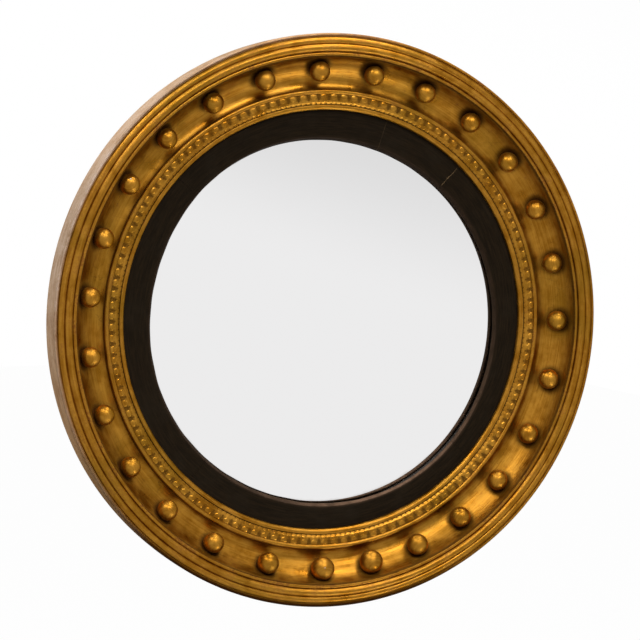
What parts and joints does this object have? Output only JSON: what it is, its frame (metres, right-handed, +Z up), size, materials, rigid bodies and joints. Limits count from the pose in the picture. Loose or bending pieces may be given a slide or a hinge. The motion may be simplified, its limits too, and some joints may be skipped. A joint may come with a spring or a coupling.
{
  "type": "convex mirror",
  "caption": "Round convex wall mirror in a gilded frame with reeded rim, hollow cove set with balls, leaf ornament, black slip, and swinging D-ring hangers on its back.",
  "frame": {"origin": "centre of the ring on the wall plane, y = 0", "axes": "+Z up as it hangs, -Y out of the wall towards the viewer, +X to the viewer's right"},
  "size_m": [0.558, 0.0646, 0.558],
  "materials": {
    "gilding": "worn leaf gilding on gesso over turned wood",
    "gilt_balls": "burnished leaf gilding on gessoed turned balls",
    "gilt_composition": "gilded pressed ornament with dark recesses",
    "ebonised_wood": "matte black, worn brown at the edge",
    "silvered_glass": "polished convex glass, silvered on its back",
    "felt": "thin dark felt",
    "pine": "sawn and turned, darkened with age",
    "backboard_pine": "planed planks, darkened with age",
    "brass": "tarnished",
    "steel": "dull"
  },
  "bodies": {
    "frame": {"carcass_segment_1": "pine", "carcass_segment_2": "pine", "carcass_segment_3": "pine", "carcass_segment_4": "pine", "carcass_segment_5": "pine", "carcass_segment_6": "pine", "cove_ring": "gilding", "reeded_rim": "gilding", "inner_moulding": "gilding", "ornament_strip_1": "gilt_composition", "ornament_strip_2": "gilt_composition", "ornament_strip_3": "gilt_composition", "ornament_strip_4": "gilt_composition", "ornament_strip_5": "gilt_composition", "slip_segment_1": "ebonised_wood", "slip_segment_2": "ebonised_wood", "slip_segment_3": "ebonised_wood", "slip_segment_4": "ebonised_wood", "slip_brads": "steel", "mirror_glass": "silvered_glass", "glass_packing": "felt", "glass_blocks": "pine", "backboard_left": "backboard_pine", "backboard_centre": "backboard_pine", "backboard_right": "backboard_pine", "backboard_screws": "steel", "ball_01": "gilt_balls", "ball_02": "gilt_balls", "ball_03": "gilt_balls", "ball_04": "gilt_balls", "ball_05": "gilt_balls", "ball_06": "gilt_balls", "ball_07": "gilt_balls", "ball_08": "gilt_balls", "ball_09": "gilt_balls", "ball_10": "gilt_balls", "ball_11": "gilt_balls", "ball_12": "gilt_balls", "ball_13": "gilt_balls", "ball_14": "gilt_balls", "ball_15": "gilt_balls", "ball_16": "gilt_balls", "ball_17": "gilt_balls", "ball_18": "gilt_balls", "ball_19": "gilt_balls", "ball_20": "gilt_balls", "ball_21": "gilt_balls", "ball_22": "gilt_balls", "ball_23": "gilt_balls", "ball_24": "gilt_balls", "ball_25": "gilt_balls", "ball_26": "gilt_balls", "ball_27": "gilt_balls", "ball_pins": "steel", "hanger_strap_left": "brass", "hanger_strap_right": "brass", "hanger_screws": "brass"},
    "ring_left": {"hanger_ring_left": "brass"},
    "ring_right": {"hanger_ring_right": "brass"}
  },
  "joints": [
    {"name": "left_ring_swing", "type": "hinge", "parent": "frame", "child": "ring_left", "pos_m": [-0.2015, -0.0062, 0.088], "axis": [0, 0, 1], "range_deg": [0, 165]},
    {"name": "right_ring_swing", "type": "hinge", "parent": "frame", "child": "ring_right", "pos_m": [0.2015, -0.0062, 0.088], "axis": [0, 0, -1], "range_deg": [0, 165]}
  ]
}
